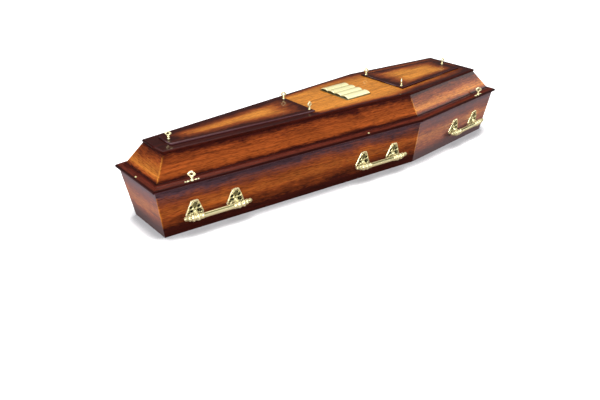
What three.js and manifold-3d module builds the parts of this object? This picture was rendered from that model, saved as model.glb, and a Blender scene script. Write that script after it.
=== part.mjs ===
// Wooden coffin with a raised lid, a moulded rim, two applied panels and cast brass fittings.
// Millimetres, +Z up. X runs from the foot end (-X) to the head end (+X), Y across.
// The origin is at the middle of the underside.

import * as THREE from 'three';
import { mergeVertices } from 'three/addons/utils/BufferGeometryUtils.js';
import Module from 'manifold-3d';

// Outline of the lid rim, the widest line of the coffin
const rimLength = 2100;
const footWidth = 338;
const shoulderWidth = 616;
const headWidth = 475;
const shoulderFromFoot = 1405;

// Box: leaning walls on a let-in floor
const boxHeight = 228;
const wallThickness = 20;
const floorThickness = 18;
const boxTopInset = 12;
const boxBottomInset = { side: 43, head: 47, foot: 47 };

// Lid: rim, sloping boards and top board
const rimHeight = 22.5;
const rimNose = 12.7;
const rimNoseDepth = 4;
const rimTread = 17;
const rimStep = 12;
const slopeThickness = 16;
const slopeHeight = 93.6;
const topBoardInset = { side: 91, head: 110, foot: 99 };
const topBoardThickness = 12;
const topBoardRound = 4;
const topBoardOverhang = 3;

// Applied panels on the top board
const panelThickness = 8;
const panelBevel = 5;
const legPanel = { margin: 42, fromFootEdge: 57, beforeShoulder: 541 };
const chestPanel = { margin: 64, afterShoulder: 14, fromHeadEdge: 65 };

// Screws with ring heads
const screwHeight = 37;
const screwStemRadius = 3.2;
const ringRadius = 13.5;
const ringHole = 5.6;
const ringThickness = 4.4;
const ringPoint = 1.8;
const screwFromPanelEnd = 14;
const screwFromPanelSide = 23;
const endScrewFromPanelEnd = 20;

// Screw plates and caps on the rim
const seatLength = 66;
const seatThickness = 4.5;
const seatMargin = 0.5;
const rimScrewFromFoot = 172;
const rimScrewFromHead = 165;
const rimCapFromFoot = 1075;
const capRadius = 5.5;
const capHeight = 3.6;

// Open book on the top board
const bookLength = 156;
const bookWidth = 204;
const bookThickness = 17;
const bookCover = 2.4;
const bookCoverEdge = 4;
const bookFromShoulder = 163;

// Handles: two brackets and a bar each
const handleLength = 316;
const barOverhang = 63;
const barHeight = 84;
const barReach = 34;
const barRadius = 11;
const neckRadius = 8.5;
const knobRadius = 15;
const eyeRadius = 15.5;
const eyeLength = 19;
const eyeFacets = 10;
const bracketTopWidth = 38;
const bracketFootWidth = 84;
const bracketRise = 66;
const bracketDrop = 15;
const bracketThickness = 3.2;
const bracketRelief = 3;
const bracketBorder = 5;
const strapWidth = 5.5;
const handleFromFoot = [275, 1155];
const handleFromHead = 262;

// Fits
const seam = 0.3;
const mitreGap = 0.5;
const neckClearance = 0.9;

// Heights worked out from the sizes above
const rimBase = boxHeight + seam;
const slopeBase = rimBase + rimHeight + seam;
const boardBase = slopeBase + slopeHeight + seam;
const boardTop = boardBase + topBoardThickness;
const panelTop = boardTop + seam + panelThickness;
const treadHeight = rimBase + rimNose;
const treadEnd = rimNoseDepth + rimTread;
const slopeInset = treadEnd + rimStep + 3;
const rimFittingInset = rimNoseDepth + rimTread / 2;
const seatRadius = rimTread / 2 - seatMargin;
const rimWidth = slopeInset + slopeThickness;
const bracketSpacing = handleLength - 2 * barOverhang;
const footX = -rimLength / 2;
const headX = rimLength / 2;
const shoulderX = footX + shoulderFromFoot;

const wood = { color: 0x9c4f1e, roughness: 0.18, metalness: 0 };
const darkWood = { color: 0x4a1712, roughness: 0.16, metalness: 0 };
const brass = { color: 0xdccf8c, roughness: 0.2, metalness: 1 };

const coffin = new THREE.Group();
const lid = new THREE.Group();
coffin.add(lid);

function addPiece(parent, name, geometry, finish) {
  const piece = new THREE.Mesh(geometry, new THREE.MeshStandardMaterial(finish));
  piece.name = name;
  parent.add(piece);
  return piece;
}

// Solid modelling helpers
const wasm = await Module();
wasm.setup();

function mergedGeometry(geometry) {
  const bare = geometry.clone();
  bare.deleteAttribute('normal');
  bare.deleteAttribute('uv');
  return mergeVertices(bare, 1e-4);
}

function toSolid(geometry) {
  const merged = mergedGeometry(geometry);
  const index = merged.index.array;
  const triangles = [];
  for (let i = 0; i < index.length; i += 3) {
    const [a, b, c] = [index[i], index[i + 1], index[i + 2]];
    if (a !== b && b !== c && c !== a) triangles.push(a, b, c);
  }
  return new wasm.Manifold(new wasm.Mesh({
    numProp: 3,
    vertProperties: new Float32Array(merged.attributes.position.array),
    triVerts: new Uint32Array(triangles),
  }));
}

function toGeometry(solid) {
  const mesh = solid.getMesh();
  const geometry = new THREE.BufferGeometry();
  geometry.setAttribute('position', new THREE.BufferAttribute(mesh.vertProperties, 3));
  geometry.setIndex(new THREE.BufferAttribute(mesh.triVerts, 1));
  geometry.computeVertexNormals();
  return geometry;
}

function join(geometries) {
  return geometries.map(toSolid).reduce((whole, part) => whole.add(part));
}

// Plan of the coffin: six sides, named anticlockwise from the left long side
const sides = [
  { name: 'left_long', kind: 'side' },
  { name: 'left_short', kind: 'side' },
  { name: 'head', kind: 'head' },
  { name: 'right_short', kind: 'side' },
  { name: 'right_long', kind: 'side' },
  { name: 'foot', kind: 'foot' },
];
const plan = [
  new THREE.Vector2(footX, -footWidth / 2),
  new THREE.Vector2(shoulderX, -shoulderWidth / 2),
  new THREE.Vector2(headX, -headWidth / 2),
  new THREE.Vector2(headX, headWidth / 2),
  new THREE.Vector2(shoulderX, shoulderWidth / 2),
  new THREE.Vector2(footX, footWidth / 2),
];

function sideDirection(side) {
  return plan[(side + 1) % plan.length].clone().sub(plan[side]).normalize();
}

// The line of one side moved inwards, as an inward normal and its distance from the origin
function insetLine(side, inset) {
  const along = sideDirection(side);
  const inward = new THREE.Vector2(-along.y, along.x);
  return { inward, distance: inward.dot(plan[side]) + inset };
}

// Where the inset lines of the two sides at a corner meet
function cornerAt(corner, insetOf) {
  const before = (corner + plan.length - 1) % plan.length;
  const a = insetLine(before, insetOf(before));
  const b = insetLine(corner, insetOf(corner));
  const det = a.inward.x * b.inward.y - a.inward.y * b.inward.x;
  return new THREE.Vector2(
    (a.distance * b.inward.y - b.distance * a.inward.y) / det,
    (b.distance * a.inward.x - a.distance * b.inward.x) / det,
  );
}

function planAt(insetOf) {
  return plan.map((point, corner) => cornerAt(corner, insetOf));
}

// Half the width of the plan at x, on lines moved inwards by inset
function halfWidthAt(x, inset) {
  const line = insetLine(x < shoulderX ? 0 : 1, inset);
  return -(line.distance - line.inward.x * x) / line.inward.y;
}

function shapeOf(points) {
  return new THREE.Shape(points.map(([x, y]) => new THREE.Vector2(x, y)));
}

// A board along one side, mitred at both corners. The section is drawn as depth from the
// outer face and height, and insetOf gives the place of the outer face at each height.
function mitredBoard(side, section, insetOf) {
  const geometry = new THREE.ExtrudeGeometry(section, { depth: 1, bevelEnabled: false });
  const along = sideDirection(side);
  const position = geometry.attributes.position;
  for (let i = 0; i < position.count; i += 1) {
    const depth = position.getX(i);
    const height = position.getY(i);
    const atStart = position.getZ(i) < 0.5;
    const corner = atStart ? side : (side + 1) % plan.length;
    const point = cornerAt(corner, (other) => insetOf(other, height) + depth);
    point.addScaledVector(along, atStart ? mitreGap / 2 : -mitreGap / 2);
    position.setXYZ(i, point.x, point.y, height);
  }
  geometry.computeVertexNormals();
  return geometry;
}

// A flat board built up from outlines at rising heights
function slab(levels) {
  const count = levels[0].points.length;
  const vertices = levels.flatMap(({ points, z }) => points.flatMap((p) => [p.x, p.y, z]));
  const index = [];
  for (let level = 0; level + 1 < levels.length; level += 1) {
    for (let i = 0; i < count; i += 1) {
      const a = level * count + i;
      const b = level * count + ((i + 1) % count);
      index.push(a, b, b + count, a, b + count, a + count);
    }
  }
  const top = (levels.length - 1) * count;
  for (let i = 1; i + 1 < count; i += 1) {
    index.push(0, i + 1, i);
    index.push(top, top + i, top + i + 1);
  }
  const geometry = new THREE.BufferGeometry();
  geometry.setAttribute('position', new THREE.Float32BufferAttribute(vertices, 3));
  geometry.setIndex(index);
  geometry.computeVertexNormals();
  return geometry;
}

// Box
function boxInset(side, height) {
  return THREE.MathUtils.lerp(boxBottomInset[sides[side].kind], boxTopInset, height / boxHeight);
}

const wallSection = shapeOf([[0, 0], [wallThickness, 0], [wallThickness, boxHeight], [0, boxHeight]]);
sides.forEach(({ name }, side) => {
  addPiece(coffin, `${name}_box_board`, mitredBoard(side, wallSection, boxInset), wood);
});

function floorOutline(height) {
  return {
    points: planAt((side) => boxInset(side, height) + wallThickness + seam),
    z: height,
  };
}
addPiece(coffin, 'floor_board', slab([floorOutline(0), floorOutline(floorThickness)]), wood);

// Lid rim: a round nose, a flat tread and a cove up to the foot of the sloping boards
const rimSection = new THREE.Shape();
const noseDrop = 5;
const coveRise = rimHeight - rimNose;
rimSection.moveTo(rimWidth, rimBase);
rimSection.lineTo(rimWidth, rimBase + rimHeight);
rimSection.lineTo(slopeInset - 3, rimBase + rimHeight);
rimSection.quadraticCurveTo(
  slopeInset - 3 - rimStep * 0.25, treadHeight + coveRise * 0.15,
  treadEnd, treadHeight,
);
rimSection.lineTo(rimNoseDepth, treadHeight);
rimSection.quadraticCurveTo(0, treadHeight, 0, treadHeight - noseDrop);
rimSection.lineTo(0, rimBase + 3);
rimSection.lineTo(2, rimBase);
rimSection.closePath();
const rimOutline = shapeOf(rimSection.getPoints(3).map((p) => [p.x, p.y]).slice(0, -1));
sides.forEach(({ name }, side) => {
  addPiece(lid, `${name}_rim_moulding`, mitredBoard(side, rimOutline, () => 0), darkWood);
});

// Sloping boards
function slopeInsetAt(side, height) {
  const top = topBoardInset[sides[side].kind] + topBoardOverhang;
  return THREE.MathUtils.lerp(slopeInset, top, (height - slopeBase) / slopeHeight);
}
const slopeTop = slopeBase + slopeHeight;
const slopeSection = shapeOf([
  [0, slopeBase], [slopeThickness, slopeBase], [slopeThickness, slopeTop], [0, slopeTop],
]);
sides.forEach(({ name }, side) => {
  addPiece(lid, `${name}_lid_slope`, mitredBoard(side, slopeSection, slopeInsetAt), wood);
});

// Top board with a rounded edge
function boardOutline(extraInset, z) {
  return { points: planAt((side) => topBoardInset[sides[side].kind] + extraInset), z };
}
const roundSteps = 3;
const boardLevels = [boardOutline(2, boardBase), boardOutline(0, boardBase + 2)];
for (let step = 0; step <= roundSteps; step += 1) {
  const turn = (step / roundSteps) * (Math.PI / 2);
  boardLevels.push(boardOutline(
    topBoardRound * (1 - Math.cos(turn)),
    boardTop - topBoardRound * (1 - Math.sin(turn)),
  ));
}
addPiece(lid, 'lid_top_board', slab(boardLevels), wood);

// Panels: four-cornered boards with a bevelled upper edge
function panelOutline(startX, endX, inset, z) {
  const points = [
    new THREE.Vector2(startX, -halfWidthAt(startX, inset)),
    new THREE.Vector2(endX, -halfWidthAt(endX, inset)),
    new THREE.Vector2(endX, halfWidthAt(endX, inset)),
    new THREE.Vector2(startX, halfWidthAt(startX, inset)),
  ];
  return { points, z };
}

function bevelledPanel(startX, endX, inset) {
  const base = boardTop + seam;
  return slab([
    panelOutline(startX, endX, inset, base),
    panelOutline(startX, endX, inset, panelTop - panelBevel * 0.7),
    panelOutline(startX + panelBevel, endX - panelBevel, inset + panelBevel, panelTop),
  ]);
}

const legPanelInset = topBoardInset.side + legPanel.margin;
const legPanelStart = footX + topBoardInset.foot + legPanel.fromFootEdge;
const legPanelEnd = shoulderX - legPanel.beforeShoulder;
const chestPanelInset = topBoardInset.side + chestPanel.margin;
const chestPanelStart = shoulderX + chestPanel.afterShoulder;
const chestPanelEnd = headX - topBoardInset.head - chestPanel.fromHeadEdge;
addPiece(lid, 'leg_panel', bevelledPanel(legPanelStart, legPanelEnd, legPanelInset), wood);
addPiece(lid, 'chest_panel', bevelledPanel(chestPanelStart, chestPanelEnd, chestPanelInset), wood);

// Screw: a pointed ring head on a collared stem, standing on z = 0
function ringHeadScrew() {
  const ringOutline = [];
  const ringCorners = 16;
  for (let i = 0; i < ringCorners; i += 1) {
    const angle = (i / ringCorners) * Math.PI * 2;
    const radius = ringRadius + ringPoint * Math.cos(4 * angle) - ringPoint;
    ringOutline.push([radius * Math.cos(angle), radius * Math.sin(angle)]);
  }
  const ring = shapeOf(ringOutline);
  const hole = new THREE.Path();
  hole.absarc(0, 0, ringHole, 0, Math.PI * 2, true);
  ring.holes.push(shapeOf(hole.getPoints(4).slice(0, -1).map((p) => [p.x, p.y])));
  const head = new THREE.ExtrudeGeometry(ring, { depth: ringThickness, bevelEnabled: false });
  head.translate(0, 0, -ringThickness / 2);
  head.rotateX(Math.PI / 2);
  head.translate(0, 0, screwHeight - ringRadius);

  const neckTop = screwHeight - ringRadius - ringHole - 2;
  const stemProfile = [
    [0, 0], [screwStemRadius * 2, 0], [screwStemRadius * 2, 2], [screwStemRadius, 4.5],
    [screwStemRadius, neckTop * 0.55], [screwStemRadius * 1.6, neckTop * 0.75],
    [screwStemRadius, neckTop], [0, neckTop],
  ];
  const stem = new THREE.LatheGeometry(stemProfile.map(([r, z]) => new THREE.Vector2(r, z)), 6);
  stem.rotateX(Math.PI / 2);
  return toGeometry(join([head, stem]));
}
const screwGeometry = ringHeadScrew();

function addScrew(name, x, y, z, turn) {
  const screw = addPiece(lid, name, screwGeometry, brass);
  screw.position.set(x, y, z + seam);
  screw.rotation.z = THREE.MathUtils.degToRad(turn);
}

const legScrewX = legPanelEnd - screwFromPanelEnd;
const legScrewY = halfWidthAt(legScrewX, legPanelInset) - screwFromPanelSide;
const chestScrewX = chestPanelStart + screwFromPanelEnd;
const chestScrewY = halfWidthAt(chestScrewX, chestPanelInset) - screwFromPanelSide;
addScrew('leg_panel_end_screw', legPanelStart + endScrewFromPanelEnd, 0, panelTop, -39);
addScrew('leg_panel_left_screw', legScrewX, -legScrewY, panelTop, 10);
addScrew('leg_panel_right_screw', legScrewX, legScrewY, panelTop, -30);
addScrew('chest_panel_left_screw', chestScrewX, -chestScrewY, panelTop, 35);
addScrew('chest_panel_right_screw', chestScrewX, chestScrewY, panelTop, -30);
addScrew('chest_panel_end_screw', chestPanelEnd - endScrewFromPanelEnd, 0, panelTop, -15);

// Seat plate under a rim screw: beads in a row on a narrow strip
function seatPlate() {
  const beads = [
    { at: 0, radius: seatRadius },
    { at: seatLength * 0.27, radius: seatRadius * 0.62 },
    { at: seatLength / 2 - seatRadius * 0.45, radius: seatRadius * 0.45 },
  ];
  const neck = seatRadius * 0.3;
  const halfOutline = [];
  const steps = 18;
  for (let i = 0; i <= steps; i += 1) {
    const x = (i / steps - 0.5) * seatLength;
    const reach = beads.map((b) => Math.sqrt(Math.max(0, b.radius ** 2 - (Math.abs(x) - b.at) ** 2)));
    halfOutline.push([x, Math.max(neck, ...reach)]);
  }
  const otherHalf = halfOutline.map(([x, y]) => [x, -y]);
  const outline = shapeOf([...otherHalf, ...halfOutline.reverse()]);
  return new THREE.ExtrudeGeometry(outline, { depth: seatThickness, bevelEnabled: false });
}
const seatGeometry = seatPlate();

const capProfile = new THREE.EllipseCurve(0, 0, capRadius, capHeight, 0, Math.PI / 2).getPoints(3);
const capGeometry = new THREE.LatheGeometry([new THREE.Vector2(0, 0), ...capProfile], 10);
capGeometry.rotateX(Math.PI / 2);

// Fittings on the tread of the rim
const rimScrewPlaces = [
  { name: 'foot', x: footX + rimScrewFromFoot, turn: -39 },
  { name: 'head', x: headX - rimScrewFromHead, turn: -30 },
];
for (const [hand, across] of [['left', -1], ['right', 1]]) {
  for (const { name, x, turn } of rimScrewPlaces) {
    const y = across * halfWidthAt(x, rimFittingInset);
    const direction = sideDirection(x < shoulderX ? 0 : 1);
    const seat = addPiece(lid, `${hand}_${name}_rim_screw_plate`, seatGeometry, brass);
    seat.position.set(x, y, treadHeight + seam);
    seat.rotation.z = -across * Math.atan2(direction.y, direction.x);
    addScrew(`${hand}_${name}_rim_screw`, x, y, treadHeight + seam + seatThickness, turn);
  }
  const capX = footX + rimCapFromFoot;
  const cap = addPiece(lid, `${hand}_rim_cap`, capGeometry, brass);
  cap.position.set(capX, across * halfWidthAt(capX, rimFittingInset), treadHeight + seam);
}
for (const [end, x] of [['foot', footX + rimFittingInset], ['head', headX - rimFittingInset]]) {
  const cap = addPiece(lid, `${end}_rim_cap`, capGeometry, brass);
  cap.position.set(x, 0, treadHeight + seam);
}

// Open book: a thin cover under two page blocks, each with two rounded swells
function openBook() {
  const coverHalf = bookWidth / 2;
  const pageHalf = coverHalf - bookCoverEdge;
  const rise = bookThickness - bookCover;
  const pageTop = [
    [0, 0.3], [0.1, 0.7], [0.25, 1], [0.4, 0.82], [0.5, 0.62], [0.62, 0.84], [0.76, 0.86],
    [0.9, 0.6], [1, 0.34],
  ].map(([along, up]) => new THREE.Vector2(along * pageHalf, bookCover + up * rise));
  const half = new THREE.SplineCurve(pageTop).getPoints(18);
  const mirrored = half.slice(1).map((p) => new THREE.Vector2(-p.x, p.y)).reverse();
  const outline = new THREE.Shape([
    new THREE.Vector2(-coverHalf, 0),
    new THREE.Vector2(-coverHalf, bookCover),
    new THREE.Vector2(-pageHalf, bookCover),
    ...mirrored,
    ...half,
    new THREE.Vector2(pageHalf, bookCover),
    new THREE.Vector2(coverHalf, bookCover),
    new THREE.Vector2(coverHalf, 0),
  ].reverse());
  const book = new THREE.ExtrudeGeometry(outline, { depth: bookLength, bevelEnabled: false });
  book.rotateX(Math.PI / 2);
  book.rotateZ(Math.PI / 2);
  return book;
}
const book = addPiece(lid, 'open_book', openBook(), brass);
book.position.set(shoulderX - bookFromShoulder - bookLength, 0, boardTop + seam);

// Handle bar: a round bar with collars, necks that pass through the brackets and ringed knobs
function handleBar() {
  const end = handleLength / 2;
  const eyeInner = (bracketSpacing - eyeLength) / 2 - seam;
  const eyeOuter = (bracketSpacing + eyeLength) / 2 + seam;
  const knobs = 3;
  const knobLength = (end - eyeOuter) / knobs;
  const half = [
    [barRadius, 0], [barRadius * 0.84, eyeInner - 16], [knobRadius * 0.84, eyeInner - 10],
    [knobRadius * 0.84, eyeInner], [neckRadius, eyeInner], [neckRadius, eyeOuter],
    [knobRadius * 0.7, eyeOuter],
  ];
  for (let knob = 0; knob < knobs; knob += 1) {
    const from = eyeOuter + knob * knobLength;
    const swell = knobRadius * (1 - 0.12 * knob);
    half.push([swell, from + knobLength * 0.4]);
    if (knob < knobs - 1) half.push([swell * 0.78, from + knobLength]);
  }
  half.push([knobRadius * 0.4, end - 1.5]);
  half.push([0, end]);
  const otherHalf = half.slice(1).map(([radius, at]) => [radius, -at]).reverse();
  const profile = [...otherHalf, ...half].map(([radius, at]) => new THREE.Vector2(radius, at));
  const bar = new THREE.LatheGeometry(profile, 9);
  bar.rotateZ(-Math.PI / 2);
  return bar;
}
const barGeometry = handleBar();

// Bracket, drawn in the plane of the wall with the bar's centre line through the origin:
// a flared plate with a raised border and crossed straps, and an arm with an eye for the bar
function bracketOutline(inset) {
  const top = bracketRise - inset;
  const topHalf = bracketTopWidth / 2 - inset;
  const footHalf = bracketFootWidth / 2 - inset * 1.5;
  const foot = -bracketDrop + inset;
  const shape = new THREE.Shape();
  shape.moveTo(-footHalf * 0.7, foot);
  shape.lineTo(footHalf * 0.7, foot);
  shape.quadraticCurveTo(footHalf, foot, footHalf, 0);
  shape.quadraticCurveTo(topHalf * 1.5, top * 0.35, topHalf, top * 0.88);
  shape.quadraticCurveTo(topHalf * 0.95, top, topHalf * 0.4, top);
  shape.lineTo(-topHalf * 0.4, top);
  shape.quadraticCurveTo(-topHalf * 0.95, top, -topHalf, top * 0.88);
  shape.quadraticCurveTo(-topHalf * 1.5, top * 0.35, -footHalf, 0);
  shape.quadraticCurveTo(-footHalf, foot, -footHalf * 0.7, foot);
  return shapeOf(shape.getPoints(2).slice(0, -1).map((p) => [p.x, p.y]));
}

function bracket() {
  const plate = new THREE.ExtrudeGeometry(bracketOutline(0), {
    depth: bracketThickness, bevelEnabled: false,
  });
  const borderShape = bracketOutline(0);
  borderShape.holes.push(bracketOutline(bracketBorder));
  const reliefTop = bracketThickness + bracketRelief;
  const border = new THREE.ExtrudeGeometry(borderShape, { depth: reliefTop, bevelEnabled: false });
  const straps = [-1, 1].map((lean) => {
    const strap = new THREE.BoxGeometry(strapWidth, bracketRise * 0.82, reliefTop);
    strap.rotateZ(lean * 0.62);
    strap.translate(0, bracketRise * 0.5, reliefTop / 2);
    return strap;
  });
  const plateMask = new THREE.ExtrudeGeometry(bracketOutline(bracketBorder * 0.5), {
    depth: reliefTop, bevelEnabled: false,
  });
  const armProfile = shapeOf([
    [0, -bracketDrop * 0.8], [barReach, -eyeRadius * 0.8], [barReach, eyeRadius * 0.8],
    [barReach * 0.35, eyeRadius * 1.1], [0, eyeRadius * 1.5],
  ]);
  const arm = new THREE.ExtrudeGeometry(armProfile, { depth: eyeLength * 0.8, bevelEnabled: false });
  arm.rotateY(-Math.PI / 2);
  arm.translate(eyeLength * 0.4, 0, 0);
  const eye = new THREE.CylinderGeometry(eyeRadius, eyeRadius, eyeLength, eyeFacets);
  eye.rotateZ(Math.PI / 2);
  eye.translate(0, 0, barReach);
  const bore = new THREE.CylinderGeometry(
    neckRadius + neckClearance, neckRadius + neckClearance, eyeLength * 2, eyeFacets,
  );
  bore.rotateZ(Math.PI / 2);
  bore.translate(0, 0, barReach);
  const crossed = join(straps).intersect(toSolid(plateMask));
  return toGeometry(join([plate, border, arm, eye]).add(crossed).subtract(toSolid(bore)));
}
const bracketGeometry = bracket();

// A frame on the outer face of a box board: x along the board, y up its face, z outwards
function wallFrame(side, x, height) {
  const along2 = sideDirection(side);
  const inset = boxInset(side, height);
  const across = side < 2 ? -1 : 1;
  const line = insetLine(side, inset);
  const y = (line.distance - line.inward.x * x) / line.inward.y;
  const lean = Math.atan2(boxBottomInset[sides[side].kind] - boxTopInset, boxHeight);
  const along = new THREE.Vector3(along2.x, along2.y, 0);
  const outward = new THREE.Vector3(-line.inward.x, -line.inward.y, 0);
  const up = new THREE.Vector3(0, 0, 1).multiplyScalar(Math.cos(lean));
  up.addScaledVector(outward, Math.sin(lean));
  const normal = along.clone().cross(up);
  const frame = new THREE.Group();
  frame.position.set(x, y, height);
  frame.quaternion.setFromRotationMatrix(new THREE.Matrix4().makeBasis(along, up, normal));
  frame.name = across < 0 ? 'left' : 'right';
  return frame;
}

const handlePlaces = [
  { name: 'foot', x: footX + handleFromFoot[0], sides: [0, 4] },
  { name: 'middle', x: footX + handleFromFoot[1], sides: [0, 4] },
  { name: 'head', x: headX - handleFromHead, sides: [1, 3] },
];
for (const place of handlePlaces) {
  for (const side of place.sides) {
    const frame = wallFrame(side, place.x, barHeight);
    const prefix = `${frame.name}_${place.name}_handle`;
    coffin.add(frame);
    for (const [end, along] of [['bracket_1', -1], ['bracket_2', 1]]) {
      const piece = addPiece(frame, `${prefix}_${end}`, bracketGeometry, brass);
      piece.position.set(along * bracketSpacing / 2, 0, seam);
    }
    const bar = addPiece(frame, `${prefix}_bar`, barGeometry, brass);
    bar.position.set(0, 0, barReach + seam);
  }
}

export default coffin;
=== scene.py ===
# Wooden coffin in sprayed gloss lacquer with cast brass fittings.
# Metres, +Z up, head end at +X, the near long side at -Y. The fittings are drawn in millimetres.
import math
import random

import bmesh
import bpy
from mathutils import Matrix, Vector, geometry


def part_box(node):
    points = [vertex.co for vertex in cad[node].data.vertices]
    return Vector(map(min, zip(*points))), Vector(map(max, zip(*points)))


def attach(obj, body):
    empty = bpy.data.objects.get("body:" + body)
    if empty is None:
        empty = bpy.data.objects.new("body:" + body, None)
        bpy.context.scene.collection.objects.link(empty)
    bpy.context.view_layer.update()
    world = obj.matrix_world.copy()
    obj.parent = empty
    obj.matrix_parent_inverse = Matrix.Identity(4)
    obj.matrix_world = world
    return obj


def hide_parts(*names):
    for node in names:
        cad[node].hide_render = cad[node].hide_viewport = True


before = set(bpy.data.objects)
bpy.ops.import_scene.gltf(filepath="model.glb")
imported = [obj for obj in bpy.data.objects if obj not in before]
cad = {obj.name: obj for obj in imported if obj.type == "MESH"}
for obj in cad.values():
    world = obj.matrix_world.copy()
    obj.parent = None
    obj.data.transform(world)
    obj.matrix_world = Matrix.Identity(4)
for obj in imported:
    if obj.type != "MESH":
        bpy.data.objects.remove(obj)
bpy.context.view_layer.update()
MM = 0.001


# Objects and boxes

def in_scene(name, data):
    """A new object in the scene that holds the data."""
    obj = bpy.data.objects.new(name, data)
    bpy.context.scene.collection.objects.link(obj)
    return obj


def box_corners(node):
    """The low and the high corner of a CAD node's box."""
    low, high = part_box(node)
    return Vector(low), Vector(high)


# Node tree helper

class Net:
    """Adds nodes to a tree. A value is either a socket to link or a plain number, tuple or colour."""

    def __init__(self, tree):
        self.tree = tree

    def add(self, kind, **settings):
        node = self.tree.nodes.new(kind)
        for key, value in settings.items():
            setattr(node, key, value)
        return node

    def put(self, socket, value):
        if isinstance(value, bpy.types.NodeSocket):
            self.tree.links.new(value, socket)
        else:
            socket.default_value = value

    def math(self, operation, a, b=0.0, c=0.0, clamp=False):
        node = self.add("ShaderNodeMath", operation=operation, use_clamp=clamp)
        for socket, value in zip(node.inputs, (a, b, c)):
            self.put(socket, value)
        return node.outputs[0]

    def vector(self, operation, a, b=(0.0, 0.0, 0.0)):
        node = self.add("ShaderNodeVectorMath", operation=operation)
        self.put(node.inputs[0], a)
        self.put(node.inputs[1], b)
        return node.outputs[0]

    def noise(self, vector, scale, detail=2.0, roughness=0.5):
        node = self.add("ShaderNodeTexNoise")
        self.put(node.inputs["Vector"], vector)
        node.inputs["Scale"].default_value = scale
        node.inputs["Detail"].default_value = detail
        node.inputs["Roughness"].default_value = roughness
        return node.outputs["Fac"]

    def remap(self, value, from_low, from_high, to_low=0.0, to_high=1.0):
        node = self.add("ShaderNodeMapRange")
        for socket, entry in zip(node.inputs, (value, from_low, from_high, to_low, to_high)):
            self.put(socket, entry)
        return node.outputs[0]

    def between(self, value, rise_from, rise_to, fall_from, fall_to):
        """1 between the two middle values, fading to 0 at the first and the last."""
        return self.math("MULTIPLY", self.remap(value, rise_from, rise_to),
                         self.remap(value, fall_from, fall_to, 1.0, 0.0))

    def swing(self, noise, amount):
        """A noise value made to swing about 0 by an amount."""
        return self.math("MULTIPLY", self.math("SUBTRACT", noise, 0.5), amount)

    def separate(self, vector):
        node = self.add("ShaderNodeSeparateXYZ")
        self.put(node.inputs[0], vector)
        return node.outputs

    def mix(self, factor, a, b, blend="MIX"):
        node = self.add("ShaderNodeMix", data_type="RGBA", blend_type=blend)
        self.put(node.inputs[0], factor)
        self.put(node.inputs[6], a)
        self.put(node.inputs[7], b)
        return node.outputs[2]

    def attribute(self, name, output="Vector"):
        return self.add("ShaderNodeAttribute", attribute_name=name).outputs[output]

    def group(self, tree, **values):
        node = self.add("ShaderNodeGroup", node_tree=tree)
        for key, value in values.items():
            self.put(node.inputs[key.replace("_", " ")], value)
        return node.outputs

    def bump(self, height, strength, distance):
        node = self.add("ShaderNodeBump")
        self.put(node.inputs["Height"], height)
        node.inputs["Strength"].default_value = strength
        node.inputs["Distance"].default_value = distance
        return node.outputs[0]


def new_group(name, inputs, outputs):
    tree = bpy.data.node_groups.new(name, "ShaderNodeTree")
    for label, kind, default in inputs:
        socket = tree.interface.new_socket(label, in_out="INPUT", socket_type="NodeSocket" + kind)
        if default is not None:
            socket.default_value = default
    for label, kind in outputs:
        tree.interface.new_socket(label, in_out="OUTPUT", socket_type="NodeSocket" + kind)
    start = tree.nodes.new("NodeGroupInput")
    end = tree.nodes.new("NodeGroupOutput")
    return tree, Net(tree), start.outputs, end.inputs


# Shader groups

def spray_group():
    """How far a point lies inside its board's dark edges: 0 at an edge, 1 where the fade from it ends."""
    tree, net, given, out = new_group(
        "Sprayed edges",
        [("Edges A", "Vector", None), ("Edges B", "Vector", None), ("Board", "Vector", None),
         ("Raggedness", "Float", 0.25), ("Spatter", "Float", 0.6)],
        [("Centre", "Float"), ("Edge", "Float")],
    )
    inside = None
    for name in ("Edges A", "Edges B"):
        for part in net.separate(given[name]):
            inside = part if inside is None else net.math("SMOOTH_MIN", inside, part, 0.3)
    drift = net.swing(net.noise(given["Board"], 9.0), given["Raggedness"])
    fine = net.noise(net.vector("MULTIPLY", given["Board"], (0.16, 1.0, 1.0)), 230.0)
    spatter = net.swing(fine, given["Spatter"])
    net.put(out["Edge"], inside)
    net.put(out["Centre"], net.math("ADD", net.math("ADD", inside, drift), spatter))
    return tree


def grain_group():
    """Figure, fibres and pores, all drawn out along the board."""
    tree, net, given, out = new_group(
        "Wood grain",
        [("Board", "Vector", None)],
        [("Figure", "Float"), ("Fibre", "Float"), ("Pores", "Float"), ("Height", "Float")],
    )
    wander = net.noise(net.vector("MULTIPLY", given["Board"], (1.6, 5.0, 5.0)), 1.0)
    shift = net.add("ShaderNodeCombineXYZ")
    net.put(shift.inputs[1], net.swing(wander, 0.05))
    along = net.vector("ADD", given["Board"], shift.outputs[0])
    figure = net.noise(net.vector("MULTIPLY", along, (1.4, 34.0, 34.0)), 1.0, 3.0, 0.6)
    fibre = net.noise(net.vector("MULTIPLY", along, (6.0, 130.0, 130.0)), 1.0, 4.0, 0.65)
    pore = net.noise(net.vector("MULTIPLY", along, (38.0, 340.0, 340.0)), 1.0, 1.0)
    pores = net.remap(pore, 0.5, 0.68)
    net.put(out["Figure"], figure)
    net.put(out["Fibre"], fibre)
    net.put(out["Pores"], pores)
    net.put(out["Height"], net.math("SUBTRACT", net.math("MULTIPLY", fibre, 0.4), pores))
    return tree


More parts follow.
